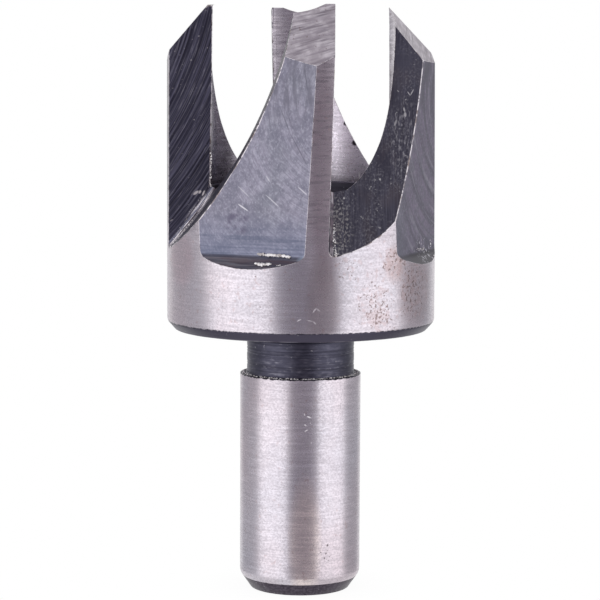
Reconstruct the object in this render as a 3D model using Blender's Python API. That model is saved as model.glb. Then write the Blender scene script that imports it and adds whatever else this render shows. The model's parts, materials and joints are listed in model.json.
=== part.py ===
"""Plug cutter: one piece of tool steel with a round shank, a neck and a four-toothed hollow head.

Metres, +Z up. The end face of the shank lies on z = 0 and the tool turns about the Z axis,
counter-clockwise as seen from above its teeth.
"""

import math

import bmesh
import bpy
from mathutils import Matrix, Vector

# Shank and neck
SHANK_RADIUS = 0.0050
SHANK_LENGTH = 0.0180
SHANK_END_DEPTH = 0.0009
SHANK_END_LENGTH = 0.0012
NECK_RADIUS = 0.00444
NECK_LENGTH = 0.0037

# Head: a ring with a straight bore, whose wall is cut into teeth
HEAD_RADIUS = 0.01105
HEAD_LENGTH = 0.0265
HEAD_EDGE_DEPTH = 0.00067
HEAD_EDGE_LENGTH = 0.00075
BORE_RADIUS = 0.00765
BORE_DEPTH = 0.0172
BORE_GROUND_DEPTH = 0.0147
BORE_LEDGE = 0.00023
DRILL_POINT_ANGLE = math.radians(118)

# Gullets: each is milled by a large disc that leaves a cutting face and the back of the next tooth
TEETH = 4
COLLAR_HEIGHT = 0.00665
DISC_RADIUS = 0.0402
DISC_CORNER = 0.00045
DISC_SKEW = math.radians(3.1)
BACK_SETBACK = 0.0011
FACE_LEAD = 0.00245
FACE_LEAN = math.radians(1.62)

# Relief flat ground on the outside of each tooth
FLAT_DEPTH = 0.00095
FLAT_FOOT_HEIGHT = 0.0066
FLAT_TURN = math.radians(23.8)
FLAT_LEAN = math.radians(1.48)
FLAT_RUNOUT_SLOPE = math.radians(42)

# Sharpened bevel at each tip, which falls outward and away from the cutting face. Its relief, the
# slope away from the face, grows by this much per metre outward.
TIP_WIDTH = 0.00045
TIP_OUTWARD_SLOPE = math.radians(50.6)
TIP_RELIEF_SLOPE = math.radians(14.3)
TIP_RELIEF_GROWTH = 45.0

# Fineness of the round stretches
ROUND_STEPS = 128
DISC_STEPS = 20
CORNER_STEPS = 4
TIP_CUTS = 7

HEAD_BOTTOM = SHANK_LENGTH + NECK_LENGTH
HEAD_TOP = HEAD_BOTTOM + HEAD_LENGTH
# How far the cutting shapes reach past the steel that they remove
REACH = 0.0015
SHARP_EDGE_ANGLE = math.radians(25)


for old_object in list(bpy.data.objects):
    bpy.data.objects.remove(old_object, do_unlink=True)


def principled(name, color, metallic, roughness):
    material = bpy.data.materials.new(name)
    material.use_nodes = True
    shader = material.node_tree.nodes["Principled BSDF"]
    shader.inputs["Base Color"].default_value = (*color, 1.0)
    shader.inputs["Metallic"].default_value = metallic
    shader.inputs["Roughness"].default_value = roughness
    return material


FINISHES = {
    "bright": principled("bright_ground_tool_steel", (0.52, 0.48, 0.49), 1.0, 0.34),
    "black": principled("black_oxide_tool_steel", (0.045, 0.045, 0.055), 0.8, 0.45),
    "blued": principled("blued_ground_tool_steel", (0.30, 0.31, 0.36), 1.0, 0.36),
}


def finish_number(finish):
    return list(FINISHES).index(finish)


def object_from(name, bm, finish="bright"):
    bmesh.ops.recalc_face_normals(bm, faces=bm.faces)
    mesh = bpy.data.meshes.new(name)
    bm.to_mesh(mesh)
    bm.free()
    for material in FINISHES.values():
        mesh.materials.append(material)
    for polygon in mesh.polygons:
        polygon.material_index = finish_number(finish)
    piece = bpy.data.objects.new(name, mesh)
    bpy.context.scene.collection.objects.link(piece)
    return piece


def turned_blank():
    """The blank as it leaves the lathe, turned from its half section."""
    bore_floor = HEAD_TOP - BORE_DEPTH
    drilled_radius = BORE_RADIUS - BORE_LEDGE
    drill_point = drilled_radius / math.tan(DRILL_POINT_ANGLE / 2)
    half_section = [
        (0.0, 0.0),
        (SHANK_RADIUS - SHANK_END_DEPTH, 0.0),
        (SHANK_RADIUS, SHANK_END_LENGTH),
        (SHANK_RADIUS, SHANK_LENGTH),
        (NECK_RADIUS, SHANK_LENGTH),
        (NECK_RADIUS, HEAD_BOTTOM),
        (HEAD_RADIUS - HEAD_EDGE_DEPTH, HEAD_BOTTOM),
        (HEAD_RADIUS, HEAD_BOTTOM + HEAD_EDGE_LENGTH),
        (HEAD_RADIUS, HEAD_TOP),
        (BORE_RADIUS, HEAD_TOP),
        (BORE_RADIUS, HEAD_TOP - BORE_GROUND_DEPTH),
        (drilled_radius, HEAD_TOP - BORE_GROUND_DEPTH),
        (drilled_radius, bore_floor),
        (0.0, bore_floor - drill_point),
    ]
    bm = bmesh.new()
    points = [bm.verts.new((radius, 0.0, height)) for radius, height in half_section]
    for lower, upper in zip(points, points[1:]):
        bm.edges.new((lower, upper))
    bmesh.ops.spin(
        bm,
        geom=bm.verts[:] + bm.edges[:],
        axis=(0.0, 0.0, 1.0),
        cent=(0.0, 0.0, 0.0),
        angle=2 * math.pi,
        steps=ROUND_STEPS,
        use_merge=True,
    )
    bmesh.ops.remove_doubles(bm, verts=bm.verts, dist=1e-7)
    return object_from("plug_cutter", bm)


def blacken_unground_faces(blank):
    """The neck, both turned edges and the bottom of the bore keep the black of the heat treatment."""
    for polygon in blank.data.polygons:
        height = polygon.center.z
        within_wall = math.hypot(polygon.center.x, polygon.center.y) < (BORE_RADIUS + HEAD_RADIUS) / 2
        on_shank_end = 0.0 < height < SHANK_END_LENGTH
        on_neck_or_underside = SHANK_LENGTH < height < HEAD_BOTTOM + HEAD_EDGE_LENGTH
        in_bore_bottom = within_wall and HEAD_BOTTOM < height < HEAD_TOP - BORE_GROUND_DEPTH
        if on_shank_end or on_neck_or_underside or in_bore_bottom:
            polygon.material_index = finish_number("black")


def face_lead(height):
    """How far the cutting face lies ahead of the axis, at a height above z = 0."""
    return FACE_LEAD - (HEAD_TOP - height) * math.tan(FACE_LEAN)


def disc_centre():
    """Centre of the milling disc, which passes the tooth's back at the top and the collar's rim below."""
    back = Vector((BACK_SETBACK, HEAD_TOP))
    rim = Vector((HEAD_RADIUS, HEAD_BOTTOM + COLLAR_HEIGHT))
    chord = rim - back
    to_centre = Vector((-chord.y, chord.x)).normalized()
    rise = math.sqrt(DISC_RADIUS**2 - (chord.length / 2) ** 2)
    return (back + rim) / 2 + to_centre * rise


def gullet_cutter():
    """The sweep of the milling disc, in the frame of the tooth whose cutting face it leaves.

    +X points out through the tooth and +Y the way it turns. Each level is the same outline: straight
    along the floor, round the disc's corner and straight along the cutting face.
    """
    centre = disc_centre()
    reach = HEAD_RADIUS + REACH
    top = HEAD_TOP + REACH
    first_angle = math.asin((top - centre.y) / DISC_RADIUS)
    last_angle = -math.acos((centre.x - reach) / DISC_RADIUS)
    skew = math.tan(DISC_SKEW)
    bm = bmesh.new()
    levels = []
    for step in range(DISC_STEPS + 1):
        angle = first_angle + (last_angle - first_angle) * step / DISC_STEPS
        floor = centre.x - DISC_RADIUS * math.cos(angle)
        height = centre.y + DISC_RADIUS * math.sin(angle)
        lead = face_lead(height)
        corner_start = lead + DISC_CORNER
        corner_width = DISC_CORNER / math.cos(angle)
        corner_x = floor - skew * corner_start + corner_width
        outer = reach + corner_width
        outline = [(outer, lead), (outer, reach), (floor - skew * reach, reach)]
        for corner_step in range(CORNER_STEPS + 1):
            turn = math.radians(90) * corner_step / CORNER_STEPS
            x = corner_x - corner_width * math.cos(turn)
            y = corner_start - DISC_CORNER * math.sin(turn)
            outline.append((x, y))
        levels.append([bm.verts.new((x, y, height)) for x, y in outline])
    bm.faces.new(levels[0])
    bm.faces.new(levels[-1])
    for upper, lower in zip(levels, levels[1:]):
        for first in range(len(upper)):
            second = (first + 1) % len(upper)
            bm.faces.new((upper[first], upper[second], lower[second], lower[first]))
    return object_from("gullet_cutter", bm, "black")


def prism(name, outline, half_width, finish, cuts=0):
    """A shape with an outline in XZ, extruded evenly to both sides along Y.

    With cuts, its faces are divided into a fine net of triangles that can be bent.
    """
    bm = bmesh.new()
    side = bm.faces.new([bm.verts.new((x, -half_width, z)) for x, z in outline])
    extruded = bmesh.ops.extrude_face_region(bm, geom=[side])["geom"]
    moved = [element for element in extruded if isinstance(element, bmesh.types.BMVert)]
    bmesh.ops.translate(bm, verts=moved, vec=(0.0, 2 * half_width, 0.0))
    if cuts:
        bmesh.ops.subdivide_edges(bm, edges=bm.edges, cuts=cuts, use_grid_fill=True)
        bmesh.ops.triangulate(bm, faces=bm.faces)
    return object_from(name, bm, finish)


def flat_cutter():
    """What the grinding wheel takes off the outside of a tooth, with its slanting run-out at the foot."""
    foot_x = HEAD_RADIUS - FLAT_DEPTH
    foot_z = HEAD_BOTTOM + FLAT_FOOT_HEIGHT
    top = HEAD_TOP + REACH
    outer = HEAD_RADIUS + REACH
    runout_drop = (outer - foot_x) * math.tan(FLAT_RUNOUT_SLOPE)
    outline = [
        (foot_x - (top - foot_z) * math.tan(FLAT_LEAN), top),
        (foot_x, foot_z),
        (outer, foot_z - runout_drop),
        (outer, top),
    ]
    cutter = prism("flat_cutter", outline, HEAD_RADIUS, "blued")
    cutter.data.transform(Matrix.Rotation(-FLAT_TURN, 4, "Z"))
    return cutter


def tip_cutter():
    """What sharpening takes off a tip: all above a slightly twisted plane that falls outward and back."""
    tip_x = math.sqrt(BORE_RADIUS**2 - FACE_LEAD**2) + TIP_WIDTH
    half_width = (HEAD_RADIUS + BORE_RADIUS) / 4
    inner = BORE_RADIUS / 2
    outer = HEAD_RADIUS + REACH
    outward = math.tan(TIP_OUTWARD_SLOPE)
    highest = HEAD_TOP + (tip_x - inner) * outward
    lowest = HEAD_TOP - (outer - tip_x) * outward
    outline = [(inner, highest), (outer, lowest), (outer, highest)]
    cutter = prism("tip_cutter", outline, half_width, "bright", TIP_CUTS)
    for vertex in cutter.data.vertices:
        relief = math.tan(TIP_RELIEF_SLOPE) + TIP_RELIEF_GROWTH * (vertex.co.x - tip_x)
        vertex.co.z += (vertex.co.y - FACE_LEAD) * relief
    return cutter


def cut(piece, cutter, tooth):
    """Take the cutter's shape out of the piece, turned to one tooth."""
    turned = bpy.data.objects.new(f"{cutter.name}_{tooth}", cutter.data)
    turned.matrix_world = Matrix.Rotation(2 * math.pi * tooth / TEETH, 4, "Z")
    turned.hide_render = True
    turned.display_type = "WIRE"
    bpy.context.scene.collection.objects.link(turned)
    boolean = piece.modifiers.new(turned.name, "BOOLEAN")
    boolean.operation = "DIFFERENCE"
    boolean.solver = "EXACT"
    boolean.object = turned
    return turned


def keep_result(piece, cutters):
    """Make the cut shape the piece's own mesh, and remove the cutters."""
    bpy.context.view_layer.update()
    evaluated = piece.evaluated_get(bpy.context.evaluated_depsgraph_get())
    mesh = bpy.data.meshes.new_from_object(evaluated)
    piece.modifiers.clear()
    piece.data = mesh
    mesh.name = piece.name
    for cutter in cutters:
        bpy.data.objects.remove(cutter, do_unlink=True)
    mesh.shade_smooth()
    mesh.set_sharp_from_angle(angle=SHARP_EDGE_ANGLE)


plug_cutter = turned_blank()
blacken_unground_faces(plug_cutter)
shapes = [gullet_cutter(), flat_cutter(), tip_cutter()]
turned_shapes = [cut(plug_cutter, shape, tooth) for shape in shapes for tooth in range(TEETH)]
keep_result(plug_cutter, shapes + turned_shapes)
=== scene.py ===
# %% [markdown]
# A plug cutter drills a ring into wood and leaves a round plug standing in its bore. The real one is
# a single piece of tool steel. It is turned on a lathe, milled with a large disc to form four teeth,
# hardened, which blackens it, and then ground bright on the shank, the head and the bore. This lesson
# makes it in that same order, because then every surface gets its finish from the tool that cut it.
# It could also be sculpted as one mesh, but the crisp edges between finishes would be hard to keep.

import json
import math
import random

import bmesh
import bpy
from mathutils import Euler, Matrix, Vector, noise

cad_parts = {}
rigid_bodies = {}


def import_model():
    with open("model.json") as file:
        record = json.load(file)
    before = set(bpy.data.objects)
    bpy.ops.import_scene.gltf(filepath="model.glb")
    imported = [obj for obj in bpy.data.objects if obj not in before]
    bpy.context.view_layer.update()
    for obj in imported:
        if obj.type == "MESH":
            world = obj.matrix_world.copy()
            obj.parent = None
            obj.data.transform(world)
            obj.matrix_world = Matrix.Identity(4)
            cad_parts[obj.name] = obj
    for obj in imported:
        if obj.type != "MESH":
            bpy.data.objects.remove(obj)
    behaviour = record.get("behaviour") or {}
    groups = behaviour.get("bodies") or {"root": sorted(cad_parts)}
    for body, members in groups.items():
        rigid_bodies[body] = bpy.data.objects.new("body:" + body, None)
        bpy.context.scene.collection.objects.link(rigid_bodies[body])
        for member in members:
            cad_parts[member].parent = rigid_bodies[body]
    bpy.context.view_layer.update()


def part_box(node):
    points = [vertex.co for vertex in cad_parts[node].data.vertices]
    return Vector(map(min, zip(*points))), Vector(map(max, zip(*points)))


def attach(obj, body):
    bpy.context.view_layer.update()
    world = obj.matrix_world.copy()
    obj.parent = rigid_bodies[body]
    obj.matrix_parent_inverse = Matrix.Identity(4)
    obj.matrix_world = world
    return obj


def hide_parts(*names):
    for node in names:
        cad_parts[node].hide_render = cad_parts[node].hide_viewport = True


for old_object in list(bpy.data.objects):
    bpy.data.objects.remove(old_object, do_unlink=True)
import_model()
node_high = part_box("plug_cutter")[1]

# %% [markdown]
# The photo was taken from a little above the teeth, with a long lens that is turned slightly down.
# The place and the angles come from matching the drawn edges of the real tool to the sizes of the part.

# %% Set up the camera
CAMERA_PLACE = (-0.00437, -0.19049, 0.04386)
CAMERA_TILT = math.radians(84.05)
CAMERA_TURN = math.radians(-1.295)
CAMERA_ROLL = math.radians(0.25)
CAMERA_VIEW_ANGLE = math.radians(14.79)

camera_data = bpy.data.cameras.new("camera")
camera_data.angle = CAMERA_VIEW_ANGLE
camera_data.clip_start = 0.01
camera = bpy.data.objects.new("camera", camera_data)
looking = Euler((CAMERA_TILT, 0.0, CAMERA_TURN)).to_matrix() @ Matrix.Rotation(CAMERA_ROLL, 3, "Z")
camera.matrix_world = Matrix.Translation(CAMERA_PLACE) @ looking.to_4x4()
bpy.context.scene.collection.objects.link(camera)
bpy.context.scene.camera = camera
bpy.context.scene.view_settings.view_transform = "Standard"
print(f"lens {camera_data.lens:.1f} mm")

# %% [markdown]
# Shader nodes are added by one small function, which sets a node's properties and fills or links its
# inputs. Colours are written as sRGB hex values, as a colour picker shows them, and one function turns
# them into the linear values that the renderer works with.

# %% Helpers for colours and nodes
MIX_A, MIX_B, MIX_RESULT = 6, 7, 2  # the colour sockets of Blender's Mix node


def linear(hex_color):
    channels = [int(hex_color[i:i + 2], 16) / 255 for i in (1, 3, 5)]
    return (*[c / 12.92 if c <= 0.04045 else ((c + 0.055) / 1.055) ** 2.4 for c in channels], 1.0)


def add(tree, kind, inputs=None, **settings):
    node = tree.nodes.new("ShaderNode" + kind)
    for name, value in settings.items():
        setattr(node, name, value)
    for key, value in (inputs or {}).items():
        if isinstance(value, bpy.types.NodeSocket):
            tree.links.new(value, node.inputs[key])
        else:
            node.inputs[key].default_value = value
    return node


def new_material(name):
    material = bpy.data.materials.new(name)
    material.use_nodes = True
    material.node_tree.nodes.clear()
    return material


print("white in linear values:", linear("#FFFFFF"))

# %% [markdown]
# Steel shows its surroundings, so the studio matters as much as the metal. Two soft boxes stand left
# and right in front, as in the photo. Between them a dark card gives the dark band down the middle of
# each round surface, and two grey cards at the sides tone down its edges.
# The cards and soft boxes reach below the floor's level, because the camera looks down on the tool
# and its upright walls reflect what lies lower.

# %% Set up the soft boxes and cards
SOFT_BOX_DISTANCE = 0.60
SOFT_BOX_HEIGHT = 1.40
SOFT_BOX_LIFT = -0.30
CARD_DISTANCE = 0.75
CARD_HEIGHT = 1.80
CARD_LIFT = -0.35


def facing(azimuth, distance, lift):
    """A place at an azimuth from the camera's side, positive to the right, turned to face the tool."""
    angle = math.radians(azimuth)
    place = Vector((math.sin(angle), -math.cos(angle), 0.0)) * distance
    place.z = lift
    turned = Matrix.Rotation(angle, 4, "Z") @ Matrix.Rotation(math.radians(90), 4, "X")
    return Matrix.Translation(place) @ turned


def width_between(first, last, distance):
    return 2 * distance * math.tan(math.radians(last - first) / 2)


def soft_box(name, first, last, radiance):
    width = width_between(first, last, SOFT_BOX_DISTANCE)
    light = bpy.data.lights.new(name, "AREA")
    light.shape = "RECTANGLE"
    light.size = width
    light.size_y = SOFT_BOX_HEIGHT
    light.energy = radiance * math.pi * width * SOFT_BOX_HEIGHT
    lamp = bpy.data.objects.new(name, light)
    lamp.matrix_world = facing((first + last) / 2, SOFT_BOX_DISTANCE, SOFT_BOX_LIFT)
    lamp.visible_camera = False
    bpy.context.scene.collection.objects.link(lamp)


def link_object(name, bm):
    mesh = bpy.data.meshes.new(name)
    bm.to_mesh(mesh)
    bm.free()
    piece = bpy.data.objects.new(name, mesh)
    bpy.context.scene.collection.objects.link(piece)
    return piece


def glowing(name, color):
    material = new_material(name)
    glow = add(material.node_tree, "Emission", {"Color": linear(color)})
    add(material.node_tree, "OutputMaterial", {"Surface": glow.outputs[0]})
    return material


def card(name, first, last, color):
    bm = bmesh.new()
    bmesh.ops.create_grid(bm, x_segments=1, y_segments=1, size=0.5)
    width = width_between(first, last, CARD_DISTANCE)
    bmesh.ops.scale(bm, vec=(width, CARD_HEIGHT, 1.0), verts=bm.verts)
    bmesh.ops.transform(bm, matrix=facing((first + last) / 2, CARD_DISTANCE, CARD_LIFT), verts=bm.verts)
    piece = link_object(name, bm)
    piece.data.materials.append(glowing(name, color))
    piece.visible_camera = False
    piece.visible_diffuse = False
    piece.visible_shadow = False


soft_box("soft_box_left", -85, -24, 0.58)
soft_box("soft_box_right", 32, 90, 0.56)
card("dark_card_front", -24.5, 32.5, "#9B959E")
card("grey_card_left", -145, -88, "#CCCCD0")
card("grey_card_right", 93, 145, "#C4C4C8")

# %% [markdown]
# The background is white to the camera, in reflections and through glass. As a light it is a little
# dimmer, so it doesn't wash out the steel. The Light Path node tells the two apart. The floor is
# white paper that does the same, and only as large as the soft shadow round the foot needs.

# %% Light the background and the floor
WORLD_FOR_DIFFUSE = 0.85
FLOOR_RADIUS = 0.009
SHADOW_CORE = 0.3 * FLOOR_RADIUS
SHADOW_SHARE = 0.06


def seen_directly(tree):
    """1 for what the camera sees, also by reflection or through glass, and 0 for other light."""
    path = add(tree, "LightPath")
    seen = add(tree, "Math", {0: path.outputs["Is Camera Ray"], 1: path.outputs["Is Glossy Ray"]},
               operation="MAXIMUM")
    return add(tree, "Math", {0: seen.outputs[0], 1: path.outputs["Is Transmission Ray"]},
               operation="MAXIMUM").outputs[0]


world = bpy.data.worlds.new("studio")
world.use_nodes = True
world.node_tree.nodes.clear()
strength = add(world.node_tree, "MapRange", {
    "Value": seen_directly(world.node_tree),
    "To Min": WORLD_FOR_DIFFUSE,
    "To Max": 1.0,
})
sky = add(world.node_tree, "Background", {"Color": linear("#FFFFFF"), "Strength": strength.outputs[0]})
add(world.node_tree, "OutputWorld", {"Surface": sky.outputs[0]})
bpy.context.scene.world = world

floor_material = new_material("white_paper")
floor_tree = floor_material.node_tree
floor_place = add(floor_tree, "TexCoord").outputs["Object"]
from_middle = add(floor_tree, "VectorMath", {0: floor_place}, operation="LENGTH")
whiteness = add(floor_tree, "MapRange", {
    "Value": from_middle.outputs["Value"],
    "From Min": SHADOW_CORE,
    "From Max": FLOOR_RADIUS,
    "To Min": 1.0 - SHADOW_SHARE,
    "To Max": 1.0,
})
share = add(floor_tree, "Math", {0: seen_directly(floor_tree), 1: whiteness.outputs[0]},
            operation="MULTIPLY")
paper = add(floor_tree, "BsdfDiffuse", {"Color": linear("#FFFFFF")})
glow = add(floor_tree, "Emission", {"Color": linear("#FFFFFF")})
both = add(floor_tree, "MixShader", {0: share.outputs[0], 1: paper.outputs[0], 2: glow.outputs[0]})
add(floor_tree, "OutputMaterial", {"Surface": both.outputs[0]})

bm = bmesh.new()
bmesh.ops.create_circle(bm, cap_ends=True, segments=96, radius=FLOOR_RADIUS)
floor = link_object("floor", bm)
floor.data.materials.append(floor_material)
print("floor radius in mm:", FLOOR_RADIUS * 1000)

# %% [markdown]
# Sizes are in millimetres until the end, which keeps the numbers readable and the Boolean cuts away
# from tiny values. The height and the head's radius come from the frame, and the other sizes are
# those of the same part.

# %% Sizes of the blank
MM = 0.001
HEIGHT = node_high.z / MM
HEAD_RADIUS = node_high.x / MM
SHANK_RADIUS = 5.0
SHANK_LENGTH = 18.0
END_FACE_RADIUS = 4.1
END_CHAMFER_HEIGHT = 1.28
END_CHAMFER_ROUNDING = 1.0
NECK_RADIUS = 4.44
HEAD_BOTTOM = 21.7
UNDERSIDE_RADIUS = 10.38
UNDERSIDE_CHAMFER_HEIGHT = 0.75
BORE_RADIUS = 7.65
BORE_GROUND_DEPTH = 14.7
BORE_LEDGE = 0.23
BORE_LEDGE_DROP = 0.1
BORE_DEPTH = 17.2
DRILL_POINT_ANGLE = math.radians(118)
NECK_RING_DEPTH = 0.035
NECK_RING_WIDTH = 0.07
NECK_RINGS = (18.75, 18.95, 19.75, 19.95, 20.2, 20.95, 21.15)
print(f"height {HEIGHT:.1f} mm, head {2 * HEAD_RADIUS:.1f} mm across, bore {2 * BORE_RADIUS:.1f} mm")

# %% [markdown]
# Turning comes first. On the lathe a fixed tool cuts a spinning bar, so the whole blank is one outline
# turned about the axis. In Blender that is the spin operator. The outline's corners are rounded by
# arcs, and the neck keeps the rings that the turning tool left.

# %% Turn the blank
NECK_RINGS_MARGIN = 0.3
NECK_STEPS = 50
ROUND_STEPS = 256
ARC_STEPS = 5
SEAM = 0.0001


def rounded(corners):
    """The points of an outline given by corners (radius from the axis, height, rounding)."""
    points = []
    for i, (x, z, rounding) in enumerate(corners):
        corner = Vector((x, z))
        if not rounding:
            points.append(corner)
            continue
        to_last = (Vector(corners[i - 1][:2]) - corner).normalized()
        to_next = (Vector(corners[i + 1][:2]) - corner).normalized()
        half_angle = to_last.angle(to_next) / 2
        centre = corner + (to_last + to_next).normalized() * rounding / math.sin(half_angle)
        start = corner + to_last * rounding / math.tan(half_angle) - centre
        end = corner + to_next * rounding / math.tan(half_angle) - centre
        points += [centre + start.slerp(end, step / ARC_STEPS) * rounding for step in range(ARC_STEPS + 1)]
    return points


def neck_radius(height):
    """The neck's radius, with a shallow groove at each ring."""
    grooves = [math.exp(-((height - ring) / NECK_RING_WIDTH) ** 2) for ring in NECK_RINGS]
    return NECK_RADIUS - NECK_RING_DEPTH * max(grooves)


def turned_blank():
    neck_low = SHANK_LENGTH + NECK_RINGS_MARGIN
    neck_high = HEAD_BOTTOM - NECK_RINGS_MARGIN
    shank = [
        (0.0, 0.0, 0.0),
        (END_FACE_RADIUS, 0.0, 0.08),
        (SHANK_RADIUS, END_CHAMFER_HEIGHT, END_CHAMFER_ROUNDING),
        (SHANK_RADIUS, SHANK_LENGTH, 0.06),
        (NECK_RADIUS, SHANK_LENGTH, 0.12),
        (NECK_RADIUS, neck_low, 0.0),
    ]
    heights = [neck_low + (neck_high - neck_low) * i / NECK_STEPS for i in range(1, NECK_STEPS)]
    drilled_radius = BORE_RADIUS - BORE_LEDGE
    head = [
        (NECK_RADIUS, neck_high, 0.0),
        (NECK_RADIUS, HEAD_BOTTOM, 0.15),
        (UNDERSIDE_RADIUS, HEAD_BOTTOM, 0.2),
        (HEAD_RADIUS, HEAD_BOTTOM + UNDERSIDE_CHAMFER_HEIGHT, 0.6),
        (HEAD_RADIUS, HEIGHT, 0.0),
        (BORE_RADIUS, HEIGHT, 0.0),
        (BORE_RADIUS, HEIGHT - BORE_GROUND_DEPTH, 0.0),
        (drilled_radius, HEIGHT - BORE_GROUND_DEPTH - BORE_LEDGE_DROP, 0.0),
        (drilled_radius, HEIGHT - BORE_DEPTH, 0.0),
        (0.0, HEIGHT - BORE_DEPTH - drilled_radius / math.tan(DRILL_POINT_ANGLE / 2), 0.0),
    ]
    outline = rounded(shank) + [Vector((neck_radius(z), z)) for z in heights] + rounded(head)
    bm = bmesh.new()
    points = [bm.verts.new((point.x, 0.0, point.y)) for point in outline]
    for first, second in zip(points, points[1:]):
        bm.edges.new((first, second))
    bmesh.ops.spin(bm, geom=bm.verts[:] + bm.edges[:], axis=(0, 0, 1), cent=(0, 0, 0),
                   angle=2 * math.pi, steps=ROUND_STEPS, use_merge=True)
    bmesh.ops.remove_doubles(bm, verts=bm.verts, dist=SEAM)
    bmesh.ops.recalc_face_normals(bm, faces=bm.faces)
    return link_object("ground_cutter", bm)


cutter = turned_blank()
print("blank:", len(cutter.data.polygons), "faces")

# %% [markdown]
# Each finish is a material slot with a fixed place in one list, shared by the blank and by every shape
# that cuts it. A Boolean cut gives the new surface the slot of the shape that made it, so the milled,
# ground and sharpened surfaces are told apart without any painting.

# %% Give the blank its first finishes
FINISHES = ["bright", "bore", "turned_black", "milled_face", "milled_floor", "flat", "tip", "worn"]
# How far below each corner the black oxide and the ground steel meet
BARE_CHAMFER = 0.4
BARE_SHOULDER = 0.02
BARE_UNDERSIDE = 0.03


def finish_number(name):
    return FINISHES.index(name)


def finish_of_turned(point):
    from_axis = math.hypot(point.x, point.y)
    halfway_out = (BORE_RADIUS + HEAD_RADIUS) / 2
    if from_axis < halfway_out and point.z > HEAD_BOTTOM + UNDERSIDE_CHAMFER_HEIGHT:
        return "bore" if point.z > HEIGHT - BORE_GROUND_DEPTH else "turned_black"
    on_end = point.z < END_CHAMFER_HEIGHT - BARE_CHAMFER
    chamfer_top = HEAD_BOTTOM + UNDERSIDE_CHAMFER_HEIGHT
    round_neck = SHANK_LENGTH - BARE_SHOULDER < point.z < chamfer_top - BARE_UNDERSIDE
    return "turned_black" if on_end or round_neck else "bright"


for name in FINISHES:
    cutter.data.materials.append(bpy.data.materials.new(name))
for polygon in cutter.data.polygons:
    polygon.material_index = finish_number(finish_of_turned(polygon.center))
print("finishes:", ", ".join(FINISHES))

# %% [markdown]
# The gullets between the teeth are milled by the rim of a large disc that comes in from the side. Its
# flat side leaves a cutting face, its rim leaves the curved back of the next tooth, and its rounded
# corner leaves the fillet between them. So the shape to take away is the disc's own rim, spun about
# the disc's axis. Each shape is made once in the frame of one tooth, with X out through the tooth and
# Y the way that the tool turns, and is then copied round the axis.

# %% Make the shape of a gullet
TEETH = 4
TOOTH_TURN = math.radians(360 / TEETH)
REACH = 1.5  # how far each cutting shape goes past the steel
DISC_RADIUS = 40.2
DISC_RIM_WIDTH = 15.0
DISC_CORNER = 0.45
DISC_PLACE = Vector((40.62, 0.0, 55.59))
DISC_SKEW = math.radians(3.1)
DISC_START = math.radians(-5)
DISC_END = math.radians(-50)
FACE_LEAD = 2.45
FACE_LEAN = math.radians(1.62)
DISC_STEPS = 60


def milling_disc():
    outer = HEAD_RADIUS + REACH
    inner = DISC_RADIUS - DISC_RIM_WIDTH
    rim = [(inner, FACE_LEAD), (DISC_RADIUS - DISC_CORNER, FACE_LEAD)]
    for step in range(1, ARC_STEPS + 1):
        turn = math.radians(90) * step / ARC_STEPS
        rim.append((DISC_RADIUS - DISC_CORNER * (1 - math.sin(turn)),
                    FACE_LEAD + DISC_CORNER * (1 - math.cos(turn))))
    rim += [(DISC_RADIUS, outer), (inner, outer)]
    bm = bmesh.new()
    section = bm.faces.new([bm.verts.new(DISC_PLACE + Vector((-r, y, 0.0))) for r, y in rim])
    bmesh.ops.rotate(bm, verts=bm.verts, cent=DISC_PLACE, matrix=Matrix.Rotation(DISC_START, 3, "Y"))
    bmesh.ops.spin(bm, geom=[section], axis=(0, 1, 0), cent=DISC_PLACE,
                   angle=DISC_END - DISC_START, steps=DISC_STEPS)
    for vertex in bm.verts:
        vertex.co.y -= (HEIGHT - vertex.co.z) * math.tan(FACE_LEAN)
        vertex.co.x -= vertex.co.y * math.tan(DISC_SKEW)
    return bm


print(f"milling disc {2 * DISC_RADIUS:.1f} mm across")

# %% [markdown]
# The outside of each tooth is ground flat behind its cutting edge, so that it doesn't rub in the
# ring that it drills. The flat leans in a little, and runs out at its foot in a slope with a rounded
# corner. Its section is the same from side to side, so it is one outline, extruded.

# %% Make the shape of a flat
FLAT_DEPTH = 0.95
FLAT_HALF_WIDTH = 6.0
FLAT_FOOT = 28.3
FLAT_TURN = math.radians(23.8)
FLAT_LEAN = math.radians(1.48)
FLAT_RUNOUT_SLOPE = math.radians(42)
FLAT_FOOT_ROUNDING = 0.95


def prism(outline, half_width):
    bm = bmesh.new()
    side = bm.faces.new([bm.verts.new((x, -half_width, z)) for x, z in outline])
    extruded = bmesh.ops.extrude_face_region(bm, geom=[side])["geom"]
    moved = [element for element in extruded if isinstance(element, bmesh.types.BMVert)]
    bmesh.ops.translate(bm, verts=moved, vec=(0, 2 * half_width, 0))
    return bm


def grinding_flat():
    foot = HEAD_RADIUS - FLAT_DEPTH
    outer = HEAD_RADIUS + REACH
    top = HEIGHT + REACH
    bm = prism(rounded([
        (foot - (top - FLAT_FOOT) * math.tan(FLAT_LEAN), top, 0.0),
        (foot, FLAT_FOOT, FLAT_FOOT_ROUNDING),
        (outer, FLAT_FOOT - (outer - foot) * math.tan(FLAT_RUNOUT_SLOPE), 0.0),
        (outer, top, 0.0),
    ]), FLAT_HALF_WIDTH)
    bmesh.ops.rotate(bm, verts=bm.verts, cent=(0, 0, 0), matrix=Matrix.Rotation(-FLAT_TURN, 3, "Z"))
    return bm


print(f"flats from {FLAT_FOOT:.1f} mm up, {FLAT_DEPTH:.2f} mm deep at the foot")

# %% [markdown]
# Each tip is sharpened last, by hand, so the four differ a little. Its bevel falls outward and away
# from the cutting face, and gets steeper outward. A wedge takes it off. The wedge is divided before
# its points are raised, so that it can twist.

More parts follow.
